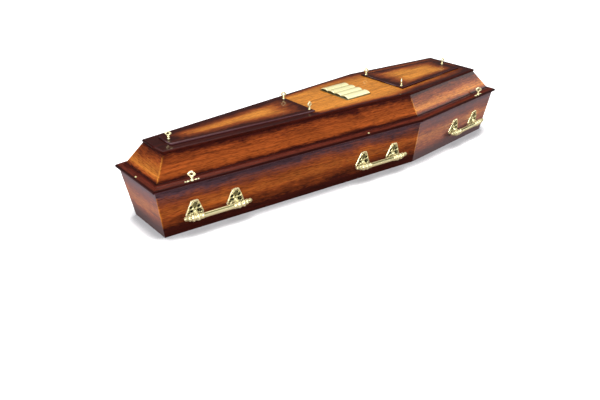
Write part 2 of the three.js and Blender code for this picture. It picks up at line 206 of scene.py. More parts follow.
def sunburst_group():
    """Nearly black at the edges, then brown, then amber, over the grain. Painted light on top: a highlight
    along the mitred corners, a pale grey-pink reflection and a sheen on the lip.
    """
    tree, net, given, out = new_group(
        "Sunburst colour",
        [("Centre", "Float", 1.0), ("Figure", "Float", 0.5), ("Fibre", "Float", 0.5),
         ("Pores", "Float", 0.0), ("Tone", "Float", 0.5), ("Mitres", "Vector", None),
         ("Lip", "Float", 0.0), ("Bloom", "Float", 0.0), ("Amber", "Color", None),
         ("Brown", "Color", None), ("Edge", "Color", None), ("Sheen", "Color", None)],
        [("Colour", "Color")],
    )
    figured = net.math("ADD", given["Centre"], net.swing(given["Figure"], 0.35))
    to_brown = net.remap(figured, 0.12, 0.62)
    to_amber = net.math("MULTIPLY", net.remap(figured, 0.5, 1.15), given["Tone"])
    colour = net.mix(to_brown, given["Edge"], given["Brown"])
    colour = net.mix(to_amber, colour, given["Amber"])
    ends = net.separate(given["Mitres"])
    nearest = net.math("MINIMUM", ends[0], ends[1])
    # Painted highlight: the colour turns amber next to a mitred corner, standing for the light caught along
    # its edge.
    corner_highlight = net.math("MULTIPLY", net.remap(nearest, 0.001, 0.0055, 0.6, 0.0), to_brown)
    colour = net.mix(corner_highlight, colour, given["Amber"])
    streak = net.remap(given["Fibre"], 0.3, 0.7, 0.62, 1.32)
    streak = net.math("MULTIPLY", streak, net.remap(given["Figure"], 0.3, 0.7, 0.8, 1.2))
    streak = net.math("MULTIPLY", streak, net.remap(given["Pores"], 0.0, 1.0, 1.1, 0.58))
    tint = net.add("ShaderNodeCombineColor")
    for socket in tint.inputs:
        net.put(socket, streak)
    colour = net.mix(1.0, colour, tint.outputs[0], "MULTIPLY")
    # Painted reflection: a pale grey-pink sheen mixed into the colour, as much as the board's share of it.
    colour = net.mix(given["Bloom"], colour, (0.5, 0.42, 0.44, 1))
    # Painted highlight: the sheen colour mixed in on the lip.
    net.put(out["Colour"], net.mix(given["Lip"], colour, given["Sheen"]))
    return tree


def lacquer_group():
    """The slight swell and orange peel of a sprayed skin."""
    tree, net, given, out = new_group("Lacquer surface", [("Board", "Vector", None)], [("Height", "Float")])
    swell = net.noise(given["Board"], 14.0, 1.0)
    peel = net.math("MULTIPLY", net.noise(given["Board"], 260.0, 1.0), 0.05)
    net.put(out["Height"], net.math("ADD", swell, peel))
    return tree


def shade_and_tarnish_group():
    """Bright brass, dulled a little at random, that turns dull and then black in its hollows as painted
    shade.
    """
    tree, net, given, out = new_group(
        "Brass tarnish",
        [("Position", "Vector", None), ("Hollow", "Float", 0.0), ("Bright", "Color", None),
         ("Dull", "Color", None), ("Soot", "Color", None)],
        [("Colour", "Color"), ("Roughness", "Float"), ("Height", "Float")],
    )
    cloud = net.noise(given["Position"], 90.0, 3.0)
    fine = net.noise(given["Position"], 900.0)
    # Painted shade: the Hollow mask dulls the colour, and past about half turns it to the near-black Shade.
    dulled = net.math("ADD", net.remap(cloud, 0.5, 0.8, 0.0, 0.1), given["Hollow"], clamp=True)
    colour = net.mix(dulled, given["Bright"], given["Dull"])
    colour = net.mix(net.remap(given["Hollow"], 0.45, 1.0), colour, given["Soot"])
    net.put(out["Colour"], colour)
    net.put(out["Roughness"], net.remap(net.math("ADD", fine, dulled), 0.3, 1.4, 0.16, 0.42))
    net.put(out["Height"], net.math("ADD", fine, net.math("MULTIPLY", cloud, 2.0)))
    return tree


SPRAY = spray_group()
GRAIN = grain_group()
SUNBURST = sunburst_group()
LACQUER = lacquer_group()
SHADE_AND_TARNISH = shade_and_tarnish_group()


# Lacquer and brass

def new_material(name):
    material = bpy.data.materials.new(name)
    material.use_nodes = True
    shader = material.node_tree.nodes["Principled BSDF"]
    return material, Net(material.node_tree), shader.inputs


# Heights and lengths, in metres, where the spray and the painted light on the boards change
LID_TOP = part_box("lid_top_board")[1][2]
LEG_PANEL_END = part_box("leg_panel")[1][0]
BOX_BAND = (0.12, 0.19, 0.229, 0.231)
# Edge colour near the box's top: the dark spray with a painted purple-grey reflection in it.
BOX_BAND_EDGE_AND_SHEEN = (0.05, 0.026, 0.034, 1)


def extra_darkening(net, along, height):
    """Darker low on the box, towards the floor, and extra spray on the lid's top beside the leg panel."""
    near_floor = net.remap(height, 0.0, 0.06, 0.34, 0.0)
    on_lid_top = net.between(height, LID_TOP - 4 * MM, LID_TOP - 0.5 * MM,
                             LID_TOP + 0.3 * MM, LID_TOP + 1 * MM)
    by_panel = net.remap(along, LEG_PANEL_END - 20 * MM, LEG_PANEL_END + 15 * MM, 0.8, 0.0)
    return net.math("ADD", near_floor, net.math("MULTIPLY", on_lid_top, by_panel))


def lacquered(name, amber, brown, edge, sheen, raggedness, coat, gloss, moulding):
    """Sprayed gloss lacquer. The lip gets a painted highlight, the sheen colour mixed in: a moulding's
    lower arris, or a panel's rounded edge.
    """
    material, net, shader = new_material(name)
    place = net.separate(net.add("ShaderNodeTexCoord").outputs["Object"])
    along, height = place["X"], place["Z"]
    board, mitres = net.attribute("board"), net.attribute("mitres")
    spray = net.group(SPRAY, Edges_A=net.attribute("edges_a"), Edges_B=net.attribute("edges_b"),
                      Board=board, Raggedness=raggedness)
    grain = net.group(GRAIN, Board=board)
    skin = net.group(LACQUER, Board=board)
    # Mask of the painted highlight: a moulding's lower arris at up to a fifth, or a panel's rounded edge,
    # fainter below the lid's top.
    if moulding:
        lip = net.remap(net.separate(mitres)["Z"], -8.5 * MM, -6.5 * MM, 0.2, 0.0)
    else:
        on_panel = net.remap(height, LID_TOP, LID_TOP + 2 * MM, 0.2, 1.0)
        lip = net.math("MULTIPLY", net.between(spray["Edge"], -0.13, -0.1, -0.06, -0.03), on_panel)
    sunburst = net.group(
        SUNBURST, Centre=net.math("SUBTRACT", spray["Centre"], extra_darkening(net, along, height)),
        Figure=grain["Figure"], Fibre=grain["Fibre"], Pores=grain["Pores"],
        Tone=net.attribute("tone", "Fac"), Bloom=net.attribute("painted_reflection", "Fac"), Mitres=mitres, Lip=lip,
        # Painted reflection: in the band near the box's top, the edge colour turns purple-grey.
        Amber=amber, Brown=brown, Edge=net.mix(net.between(height, *BOX_BAND), edge, BOX_BAND_EDGE_AND_SHEEN),
        Sheen=sheen,
    )
    net.put(shader["Base Color"], sunburst["Colour"])
    net.put(shader["Roughness"], net.remap(grain["Fibre"], 0.2, 0.8, 0.3, 0.45))
    relief = net.math("ADD", net.math("MULTIPLY", grain["Height"], 0.2), skin["Height"])
    net.put(shader["Normal"], net.bump(relief, 0.15, 0.6 * MM))
    on_rounding = net.between(height, LID_TOP - 9.5 * MM, LID_TOP - 9 * MM,
                              LID_TOP - 1 * MM, LID_TOP - 0.2 * MM)
    net.put(shader["Coat Weight"], net.remap(on_rounding, 0.0, 1.0, coat, 0.15 * coat))
    shader["Coat Roughness"].default_value = 0.03
    shader["Coat IOR"].default_value = 1.5
    shader["Specular IOR Level"].default_value = gloss
    shader["Specular Tint"].default_value = (1.0, 0.4, 0.28, 1)
    return material


# The sheen colours are painted highlights on the lips.
WOOD = lacquered(
    "Sprayed lacquer on wood", amber=(0.62, 0.24, 0.035, 1), brown=(0.22, 0.045, 0.008, 1),
    edge=(0.028, 0.0035, 0.002, 1), sheen=(0.07, 0.03, 0.035, 1),
    raggedness=0.5, coat=0.36, gloss=0.06, moulding=False)
DARK_WOOD = lacquered(
    "Dark lacquer on moulding", amber=(0.085, 0.015, 0.008, 1), brown=(0.055, 0.009, 0.005, 1),
    edge=(0.018, 0.0025, 0.002, 1), sheen=(0.18, 0.095, 0.115, 1),
    raggedness=0.3, coat=0.06, gloss=0.1, moulding=True)


def brass_material(name, metallic):
    material, net, shader = new_material(name)
    # Dull is the colour of the random dulling and of the painted shade; Shade is the near-black of the
    # deepest painted shade.
    shade_and_tarnish = net.group(
        SHADE_AND_TARNISH, Position=net.add("ShaderNodeTexCoord").outputs["Object"],
        Hollow=net.attribute("hollow", "Fac"),
        Bright=(1.0, 0.93, 0.54, 1), Dull=(0.28, 0.25, 0.06, 1), Soot=(0.012, 0.012, 0.006, 1))
    net.put(shader["Base Color"], shade_and_tarnish["Colour"])
    net.put(shader["Roughness"], shade_and_tarnish["Roughness"])
    net.put(shader["Normal"], net.bump(shade_and_tarnish["Height"], 0.08, 0.2 * MM))
    shader["Metallic"].default_value = metallic
    return material


BRASS = brass_material("Polished cast brass", 0.65)
PALE_BRASS = brass_material("Brushed pale brass", 0.35)


# Wooden boards

def merged(node):
    """A welded copy of a CAD node with its flat faces whole."""
    bm = bmesh.new()
    bm.from_mesh(cad[node].data)
    bmesh.ops.remove_doubles(bm, verts=bm.verts, dist=1e-5)
    bmesh.ops.dissolve_limit(bm, angle_limit=math.radians(0.4), verts=bm.verts[:], edges=bm.edges[:])
    bm.normal_update()
    return bm


def area_normals(bm):
    """Vertex normals weighted by area, so that wide faces stay flat beside their rounded edges."""
    normals = []
    for vert in bm.verts:
        total = Vector()
        for face in vert.link_faces:
            total += face.normal * face.calc_area()
        normals.append(total.normalized())
    return normals


def finished(name, bm, material, normals=None):
    """The mesh as a smooth-shaded object with its material."""
    mesh = bpy.data.meshes.new(name)
    bm.to_mesh(mesh)
    bm.free()
    mesh.shade_smooth()
    if normals:
        mesh.normals_split_custom_set_from_vertices(normals)
    mesh.materials.append(material)
    return in_scene(name, mesh)


def outer_face(bm, kind):
    """The large outer face of a board, or the tread of a rim moulding."""
    if kind == "rim":
        level = [f for f in bm.faces if f.normal.z > 0.99 and f.calc_area() > 1e-4]
        return min(level, key=lambda f: f.calc_center_median().z)
    if kind in ("top", "leg", "chest", "floor"):
        return max(bm.faces, key=lambda f: f.calc_area() * (f.normal.z > 0.9))
    return max(bm.faces, key=lambda f: f.calc_area() * (f.normal.dot(f.calc_center_median()) > 0))


def grid_faces(bm, rows, close_across, close_along=False):
    """Joins rows of vertices, each a list, with quads."""
    count = len(rows[0])
    for r in range(len(rows) if close_along else len(rows) - 1):
        row, above = rows[r], rows[(r + 1) % len(rows)]
        for c in range(count if close_across else count - 1):
            d = (c + 1) % count
            bm.faces.new((row[c], row[d], above[d], above[c]))


def inset_outline(outline, distance):
    """A convex outline, counterclockwise, with every edge moved inwards."""
    count = len(outline)
    lines = []
    for i in range(count):
        a, b = outline[i], outline[(i + 1) % count]
        along = (b - a).normalized()
        inward = Vector((-along.y, along.x))
        lines.append((inward, inward.dot(a) + distance))
    corners = []
    for i in range(count):
        (n1, d1), (n2, d2) = lines[i - 1], lines[i]
        turn = n1.x * n2.y - n1.y * n2.x
        corners.append(Vector(((d1 * n2.y - d2 * n1.y) / turn, (n1.x * d2 - n2.x * d1) / turn)))
    return corners


def rounded_slab(node, rounding, steps=8):
    """The CAD board with its upper edge rounded and a small rounding below."""
    places = sorted({(round(v.co.x, 5), round(v.co.y, 5)) for v in cad[node].data.vertices})
    points = [Vector(place) for place in places]
    hull = [points[i] for i in geometry.convex_hull_2d(points)]
    low, high = box_corners(node)
    small = 1.0 * MM
    outline = [p for i, p in enumerate(hull)
               if (p - hull[i - 1]).normalized().cross((hull[(i + 1) % len(hull)] - p).normalized()) > 0.01]
    levels = [(small, low.z), (0.3 * small, low.z + 0.3 * small), (0.0, low.z + small)]
    for i in range(steps + 1):
        angle = math.pi / 2 * i / steps
        levels.append((rounding * (1 - math.cos(angle)), high.z - rounding * (1 - math.sin(angle))))
    bm = bmesh.new()
    rows = []
    for inset, z in levels:
        rows.append([bm.verts.new((p.x, p.y, z)) for p in inset_outline(outline, inset)])
    grid_faces(bm, rows, True)
    bm.faces.new(rows[-1])
    bm.faces.new(rows[0][::-1])
    bm.normal_update()
    return bm


# Lengths of the dark fades from a face's edges, share of amber and rounding. A mitred end has no fade.
WOOD_KINDS = {
    "box": dict(upper=0.14, lower=0.175, amber=0.3, rounding=1.6 * MM),
    "slope": dict(upper=0.085, lower=0.022, amber=0.04, rounding=1.6 * MM),
    "rim": dict(inner=0.014, outer=0.007, amber=1.0, rounding=1.2 * MM),
    "top": dict(side=0.032, foot_end=0.05, head_end=0.045, amber=0.72, rounding=8.0 * MM),
    "leg": dict(side=0.07, foot_end=0.09, head_end=0.05, amber=0.75, rounding=5.0 * MM),
    "chest": dict(side=0.022, foot_end=0.032, head_end=0.045, amber=0.78, rounding=5.0 * MM),
    "floor": dict(side=0.06, foot_end=0.06, head_end=0.06, amber=0.2, rounding=1.0 * MM),
}
SLABS = ("top", "leg", "chest")
# The rim's inner fade starts this far back, under the lid's slope.
UNDER_SLOPE = 15 * MM
# Stands for an edge that a board doesn't have.
FAR = 4.0
rng = random.Random(4)


def board_direction(face, kind):
    """The direction of the grain: along the coffin, or along the longest edge of a leaning board."""
    if kind in SLABS or kind == "floor":
        return Vector((1, 0, 0))
    outline = [v.co for v in face.verts]
    spans = [b - a for a, b in zip(outline, outline[1:] + outline[:1])]
    return max(spans, key=lambda s: s.length).normalized()


def edge_name(middle, centre, at_end, kind):
    """Which edge of a face this is, in the words of WOOD_KINDS."""
    if at_end:
        return "foot_end" if middle.x < centre.x else "head_end"
    if kind in ("box", "slope"):
        return "upper" if middle.z > centre.z else "lower"
    if kind == "rim":
        return "outer" if middle.to_2d().length > centre.to_2d().length else "inner"
    return "side"


def board_edges(face, kind, along):
    """A start and a slope for each dark fade, and a start and an inward direction for each mitre."""
    outline = [v.co.copy() for v in face.verts]
    centre = face.calc_center_median()
    fades, mitres = [], []
    for start, end in zip(outline, outline[1:] + outline[:1]):
        direction = (end - start).normalized()
        inward = face.normal.cross(direction)
        name = edge_name((start + end) / 2, centre, abs(direction.dot(along)) < 0.8, kind)
        fade = WOOD_KINDS[kind].get(name)
        if fade is None:
            mitres.append((start, inward))
        elif name == "inner":
            fades.append((start - UNDER_SLOPE * inward, inward / fade))
        else:
            fades.append((start, inward / fade))
    return fades, mitres


def write_vectors(mesh, name, vectors):
    data = mesh.attributes.new(name, "FLOAT_VECTOR", "POINT").data
    data.foreach_set("vector", [part for vector in vectors for part in vector])


def write_number(mesh, name, number):
    data = mesh.attributes.new(name, "FLOAT", "POINT").data
    data.foreach_set("value", [number] * len(data))


def wood_piece(node, kind, sheen_lift=0.0, painted_reflection=0.0):
    """Remakes a CAD board with rounded edges, and writes on it where its grain, fades and mitres lie."""
    rounding = WOOD_KINDS[kind]["rounding"]
    slab = kind in SLABS
    bm = rounded_slab(node, rounding) if slab else merged(node)
    face = outer_face(bm, kind)
    normal, centre = face.normal.copy(), face.calc_center_median()
    along = board_direction(face, kind)
    across = normal.cross(along)
    fades, mitres = board_edges(face, kind, along)
    if not slab:
        sharp = [e for e in bm.edges if e.calc_face_angle(0) > math.radians(32)]
        bmesh.ops.bevel(bm, geom=sharp, offset=rounding, segments=3, profile=0.5,
                        affect="EDGES", clamp_overlap=True)
    bm.normal_update()
    dark = kind == "rim"
    obj = finished(node + ".finish", bm, DARK_WOOD if dark else WOOD, area_normals(bm))
    from_other_boards = Vector([rng.uniform(0, 40) for _ in range(3)])
    places, fades_a, fades_b, ends = [], [], [], []
    for vert in obj.data.vertices:
        spot = vert.co - centre
        height = spot.dot(normal)
        places.append(from_other_boards + Vector((spot.dot(along), spot.dot(across), height)))
        inside = [min((vert.co - start).dot(slope), FAR) for start, slope in fades] + [FAR] * 6
        fades_a.append(inside[:3])
        fades_b.append(inside[3:6])
        from_mitres = [(vert.co - start).dot(inward) for start, inward in mitres] + [FAR, FAR]
        ends.append((from_mitres[0], from_mitres[1], height))
    write_vectors(obj.data, "board", places)
    write_vectors(obj.data, "edges_a", fades_a)
    write_vectors(obj.data, "edges_b", fades_b)
    write_vectors(obj.data, "mitres", ends)
    # The tone is the board's share of amber, with the lift for painted sheen added.
    write_number(obj.data, "tone", WOOD_KINDS[kind]["amber"] + sheen_lift)
    write_number(obj.data, "painted_reflection", painted_reflection)
    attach(obj, "root")
    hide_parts(node)
    return normal


SIDES = ["left_long", "left_short", "head", "right_short", "right_long", "foot"]
# Painted light: extra amber on the short and end boards, standing for the pale sheen that light and
# reflection give them.
SHEEN_LIFT = {"long": 0.0, "short": 0.7, "end": 0.45}
# Share of painted reflection, a pale grey-pink sheen, mixed into each side's boards.
PAINTED_REFLECTION = {"long": 0.0, "short": 0.15, "end": 0.16}
wall_normals = {}
for side in SIDES:
    form = "end" if side in ("head", "foot") else side.split("_")[1]
    wall_normals[side] = wood_piece(side + "_box_board", "box", SHEEN_LIFT[form], PAINTED_REFLECTION[form])
    wood_piece(side + "_rim_moulding", "rim")
    wood_piece(side + "_lid_slope", "slope", SHEEN_LIFT[form])
wood_piece("floor_board", "floor")
wood_piece("lid_top_board", "top")
wood_piece("leg_panel", "leg")
wood_piece("chest_panel", "chest")


# Geometry Nodes: fittings set on points

def placing_tree():
    """Sets a fitting on every point, turned by the point's attribute and varied a little in size."""
    tree = bpy.data.node_groups.new("Set fittings", "GeometryNodeTree")
    for name, kind in (("Points", "Geometry"), ("Fitting", "Object"), ("Finish", "Material"),
                       ("Size variation", "Float"), ("Seed", "Int")):
        tree.interface.new_socket(name, in_out="INPUT", socket_type="NodeSocket" + kind)
    tree.interface.new_socket("Geometry", in_out="OUTPUT", socket_type="NodeSocketGeometry")
    net = Net(tree)
    given = net.add("NodeGroupInput").outputs
    fitting = net.add("GeometryNodeObjectInfo")
    net.put(fitting.inputs["Object"], given["Fitting"])
    turn = net.add("GeometryNodeInputNamedAttribute", data_type="FLOAT_VECTOR")
    net.put(turn.inputs["Name"], "turn")
    rotation = net.add("FunctionNodeEulerToRotation")
    net.put(rotation.inputs["Euler"], turn.outputs["Attribute"])
    size = net.add("FunctionNodeRandomValue")
    smallest, largest = [socket for socket in size.inputs if socket.type == "VALUE"][:2]
    net.put(smallest, net.math("SUBTRACT", 1.0, given["Size variation"]))
    net.put(largest, net.math("ADD", 1.0, given["Size variation"]))
    net.put(size.inputs["Seed"], given["Seed"])
    place = net.add("GeometryNodeInstanceOnPoints")
    net.put(place.inputs["Points"], given["Points"])
    net.put(place.inputs["Instance"], fitting.outputs["Geometry"])
    net.put(place.inputs["Rotation"], rotation.outputs["Rotation"])
    net.put(place.inputs["Scale"], [socket for socket in size.outputs if socket.type == "VALUE"][0])
    real = net.add("GeometryNodeRealizeInstances")
    net.put(real.inputs["Geometry"], place.outputs["Instances"])
    finish = net.add("GeometryNodeSetMaterial")
    net.put(finish.inputs["Geometry"], real.outputs["Geometry"])
    net.put(finish.inputs["Material"], given["Finish"])
    net.put(net.add("NodeGroupOutput").inputs["Geometry"], finish.outputs["Geometry"])
    return tree


PLACING = placing_tree()


def set_fittings(name, bm, places, finish=BRASS, variation=0.0, seed=1):
    """Places copies of one fitting, given as a bmesh, on points with a turn each, as one mesh object."""
    master = finished(name + "_master", bm, finish)
    mesh = bpy.data.meshes.new(name + "_points")
    mesh.from_pydata([tuple(at) for at, turn in places], [], [])
    turns = mesh.attributes.new("turn", "FLOAT_VECTOR", "POINT")
    for i, (at, turn) in enumerate(places):
        turns.data[i].vector = tuple(turn.to_euler())
    holder = in_scene(name + "_holder", mesh)
    modifier = holder.modifiers.new("Set fittings", "NODES")
    modifier.node_group = PLACING
    wanted = {"Fitting": master, "Finish": finish, "Size variation": variation, "Seed": seed}
    for item in PLACING.interface.items_tree:
        if item.in_out == "INPUT" and item.name in wanted:
            modifier[item.identifier] = wanted[item.name]
    graph = bpy.context.evaluated_depsgraph_get()
    result = bpy.data.meshes.new_from_object(holder.evaluated_get(graph), depsgraph=graph)
    holder.modifiers.remove(modifier)
    bpy.data.objects.remove(holder)
    bpy.data.objects.remove(master)
    return in_scene(name, result)


# Mesh building blocks for the fittings

def tube(bm, stations, around, point_at, hollow_at=None, layer=None):
    """A closed skin round stations. point_at(station, angle) gives a place, and hollow_at its darkness."""
    rows = []
    for station in stations:
        row = []
        for k in range(around):
            angle = 2 * math.pi * k / around
            vert = bm.verts.new(point_at(station, angle))
            if hollow_at:
                vert[layer] = hollow_at(station, angle)
            row.append(vert)
        rows.append(row)
    grid_faces(bm, rows, True)
    for row in (rows[0][::-1], rows[-1]):
        middle = bm.verts.new(sum((v.co for v in row), Vector()) / around)
        for k in range(around):
            bm.faces.new((row[k], row[(k + 1) % around], middle))


def lathe(bm, profile, around, x=0.0):
    """A turned solid about an upright axis at x, from pairs of radius and height."""
    def place(station, angle):
        radius, height = station
        return Vector((x + radius * math.cos(angle), radius * math.sin(angle), height)) * MM

    tube(bm, profile, around, place)


def arc(radius, height, start, base=0.0, steps=8):
    """Profile points of a dome, from an angle in degrees up to its top."""
    points = []
    for i in range(steps + 1):
        angle = math.radians(start + (90 - start) * i / steps)
        points.append((max(radius * math.cos(angle), 0.05), base + height * math.sin(angle)))
    return points


def smooth(value, low, high):
    """0 up to the low value, 1 from the high value, with a soft rise between them."""
    t = min(max((value - low) / (high - low), 0.0), 1.0)
    return t * t * (3 - 2 * t)


def hill(distance, width):
    """A rounded ridge of half width around distance 0."""
    return math.sqrt(max(0.0, 1 - (distance / width) ** 2))


def new_fitting():
    """An empty mesh, and its layer that says how dark each vertex is painted, mostly as painted shade in
    hollows, holes and creases.
    """
    bm = bmesh.new()
    return bm, bm.verts.layers.float.new("hollow")


# Screw with a pointed ring head

def ring_screw(reach, tall, hole):
    """A screw whose pointed ring reaches to each side of its middle by reach, and up by tall."""
    bm, hollow = new_fitting()
    point, half_depth, height = 1.6, 3.0, 23.5
    around, section = 56, 14
    rows = []
    for k in range(around):
        angle = 2 * math.pi * k / around
        outer = reach + point * math.cos(4 * angle) - point
        middle, half = (outer + hole) / 2, (outer - hole) / 2
        row = []
        for j in range(section):
            turn = 2 * math.pi * j / section
            c, s = math.cos(turn), math.sin(turn)
            wide = math.copysign(abs(c) ** 0.8, c)
            deep = math.copysign(abs(s) ** 0.8, s)
            radius = middle + half * wide
            spot = Vector((radius * math.cos(angle), half_depth * deep,
                           height + radius * math.sin(angle) * tall / reach))
            vert = bm.verts.new(spot * MM)
            # Painted shade on the inner side of the ring, round its hole.
            vert[hollow] = 0.6 * smooth(-c, 0.3, 1.0)
            row.append(vert)
        rows.append(row)
    grid_faces(bm, rows, True, True)
    stem = [(6.4, 0), (6.6, 0.8), (6.2, 1.7), (4.4, 2.4), (3.4, 3.6), (3.0, 5.2), (3.1, 6.4),
            (4.2, 7.0), (5.2, 8.2), (5.3, 9.6), (4.4, 10.8), (3.2, 11.4), (3.0, 12.4), (3.4, 14.0)]
    lathe(bm, stem, 28)
    return bm


def flat_direction(node, above):
    """The horizontal direction in which a node's vertices above a height reach furthest."""
    points = [v.co for v in cad[node].data.vertices if v.co.z >= above]
    cx = sum(p.x for p in points) / len(points)
    cy = sum(p.y for p in points) / len(points)
    xx = sum((p.x - cx) ** 2 for p in points)
    yy = sum((p.y - cy) ** 2 for p in points)
    xy = sum((p.x - cx) * (p.y - cy) for p in points)
    return 0.5 * math.atan2(2 * xy, xx - yy)


def standing(node, above_share=0.5):
    """The place and turn of an upright fitting, turned as its part above a share of its height."""
    low, high = box_corners(node)
    turn = flat_direction(node, low.z + (high.z - low.z) * above_share)
    at = Vector(((low.x + high.x) / 2, (low.y + high.y) / 2, low.z))
    return at, Matrix.Rotation(turn, 3, "Z")


def keep(obj, replaced):
    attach(obj, "root")
    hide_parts(*replaced)


panel_screws = ["leg_panel_end_screw", "leg_panel_left_screw", "leg_panel_right_screw",
                "chest_panel_left_screw", "chest_panel_right_screw", "chest_panel_end_screw"]
corners = ["left_foot", "left_head", "right_foot", "right_head"]
rim_screws = [corner + "_rim_screw" for corner in corners]
keep(set_fittings("panel_screws", ring_screw(14.0, 13.6, 4.4), [standing(n) for n in panel_screws]),
     panel_screws)
keep(set_fittings("rim_screws", ring_screw(17.5, 14.6, 5.6), [standing(n) for n in rim_screws]),
     rim_screws)


# Seat plates under the rim screws and the small caps

def seat_plate():
    """A narrow strip that carries a round dome and two smaller leaves on each side of it."""
    bm, _ = new_fitting()
    length, thickness, radius = 66.0, 4.5, 8.0
    leaves = [(length * 0.27, radius * 0.62), (length / 2 - radius * 0.45, radius * 0.45)]
    for at, size in [(0.0, radius)] + leaves + [(-at, size) for at, size in leaves]:
        rise = thickness * (0.55 + 0.45 * size / radius)
        lathe(bm, [(size * 0.98, 0.0)] + arc(size, rise, 8), 32, at)
    strip = [(-length * 0.48, 1.2), (-length * 0.4, 2.2), (length * 0.4, 2.2), (length * 0.48, 1.2)]

    def place(station, angle):
        at, half = station
        return Vector((at, half * math.cos(angle), 0.9 + math.sin(angle))) * MM

    tube(bm, strip, 12, place)
    return bm


def rim_cap():
    """A small dull dome on a collar."""
    bm, hollow = new_fitting()
    lathe(bm, [(5.5, 0.0), (5.6, 0.5), (5.2, 0.9)] + arc(4.7, 2.7, 0, 0.9), 28)
    for vert in bm.verts:
        vert[hollow] = 0.5
    return bm


plates = [corner + "_rim_screw_plate" for corner in corners]
caps = ["left_rim_cap", "right_rim_cap", "foot_rim_cap", "head_rim_cap"]
keep(set_fittings("screw_plates", seat_plate(), [standing(n, 0.0) for n in plates]), plates)
keep(set_fittings("rim_caps", rim_cap(), [standing(n, 0.0) for n in caps]), caps)


# Handle bar: fluted between the brackets, leafy knobs outside them

BAR_LENGTH, SPACING, EYE_LENGTH, REACH = 316.0, 190.0, 19.0, 34.0
BAR_END = BAR_LENGTH / 2
EYE_GAP = 0.3
INNER = (SPACING - EYE_LENGTH) / 2 - EYE_GAP
OUTER = (SPACING + EYE_LENGTH) / 2 + EYE_GAP
FLUTE_END = INNER - 17
FLUTE, PLAIN = "flute", "plain"


def bar_profile():
    """The bar's distances and radii, each with its surface: flute, plain or the number of a knob."""
    flute_steps, knob_steps, knobs = 40, 14, 3
    half = [(FLUTE_END * i / flute_steps, 11.0, FLUTE) for i in range(flute_steps + 1)]
    collar = [(-16, 9.6), (-14.5, 9.8), (-13.4, 12.2), (-12, 13.4), (-10.2, 13.2), (-8.8, 11.6),
              (-8, 10.8), (-7, 12.2), (-5, 13.0), (-3, 13.0), (-1, 12.2), (-0.2, 8.5)]
    half += [(INNER + at, radius, PLAIN) for at, radius in collar]
    outer_collar = [(0, 8.5), (0.6, 11.5), (2, 12.6), (4, 12.4), (5.5, 10.8)]
    half += [(OUTER + at, radius, PLAIN) for at, radius in outer_collar]
    knobs_start = OUTER + 5.5
    knob_length = (BAR_END - 2.5 - knobs_start) / knobs
    neck, crown = 9.4, 15.2
    for k in range(knobs):
        for j in range(1, knob_steps + 1):
            t = j / knob_steps
            swell = (crown * (1 - 0.1 * k) - neck) * math.sin(math.pi * t) ** 0.55
            half.append((knobs_start + (k + t) * knob_length, neck * (1 - 0.14 * k) + swell, k))
    half += [(BAR_END - 1.8, 6.0, PLAIN), (BAR_END - 0.6, 4.2, PLAIN), (BAR_END, 0.3, PLAIN)]
    return [(-at, radius, surface) for at, radius, surface in reversed(half[1:])] + half


def groove(angle):
    """Depth of the two flutes on the bar's front, as a share."""
    from_line = abs(abs(math.cos(angle)) - math.cos(math.radians(30)))
    return hill(from_line * 8.0, 2.2) if math.sin(angle) > 0 else 0.0


def lobe(angle, knob):
    """Leaf lobes round a knob, half a lobe further on each next one."""
    return abs(math.cos(3 * angle + knob * math.pi / 2))


def bar_place(station, angle):
    at, radius, surface = station
    if surface == FLUTE:
        fade = smooth(FLUTE_END - abs(at), 0.0, 7.0)
        radius += 0.5 * smooth(abs(at), FLUTE_END - 7, FLUTE_END) - 1.2 * groove(angle) * fade
    elif surface != PLAIN:
        radius *= 0.9 + 0.11 * lobe(angle, surface) ** 0.6
    lift = 7.0 * smooth(abs(at), OUTER, BAR_END)
    return Vector((at, lift + radius * math.cos(angle), radius * math.sin(angle))) * MM


# Painted shade on the bar: in the flutes, on the thin necks at the brackets' eyes, and between the knobs'
# lobes and at their waists.
def bar_hollow(station, angle):
    at, radius, surface = station
    if surface == FLUTE:
        return 0.8 * groove(angle)
    if surface == PLAIN:
        return 0.6 if radius < 9.9 and abs(at) < OUTER else 0.0
    valley = 1 - smooth(radius, 9.5, 13.5)
    return min(1.0, 0.45 * (1 - lobe(angle, surface)) ** 3 + 0.4 * valley)


def handle_bar():
    bm, hollow = new_fitting()
    tube(bm, bar_profile(), 60, bar_place, bar_hollow, hollow)
    return bm


# Bracket: flared plate in relief, an arm and an eye for the bar

PLATE_RISE, PLATE_DROP, PLATE_FOOT, PLATE_TOP = 66.0, 15.0, 42.0, 19.0
DOME_HEIGHT = 40
PLATE_HOLES = [(17.5, 32, 8.6), (26, 6, 6.8), (0, 0, 6.0)]


def plate_half_width(y):
    """Half the width of the bracket plate at a height over the bar's line."""
    if y < 0:
        up = 1 + y / PLATE_DROP
        return PLATE_FOOT * (0.7 + 0.3 * math.sqrt(max(0.0, 1 - (1 - up) ** 2)))
    shoulder = PLATE_RISE * 0.88
    if y < shoulder:
        up = y / shoulder
        return PLATE_FOOT + (PLATE_TOP - PLATE_FOOT) * up + 0.8 * math.sin(math.pi * up)
    up = (y - shoulder) / (PLATE_RISE - shoulder)
    return PLATE_TOP * (0.35 + 0.65 * math.sqrt(max(0.0, 1 - up ** 2)))


def from_plate_edge(x, y, slant=1.0):
    return min((plate_half_width(y) - abs(x)) * slant, PLATE_RISE - y, y + PLATE_DROP)


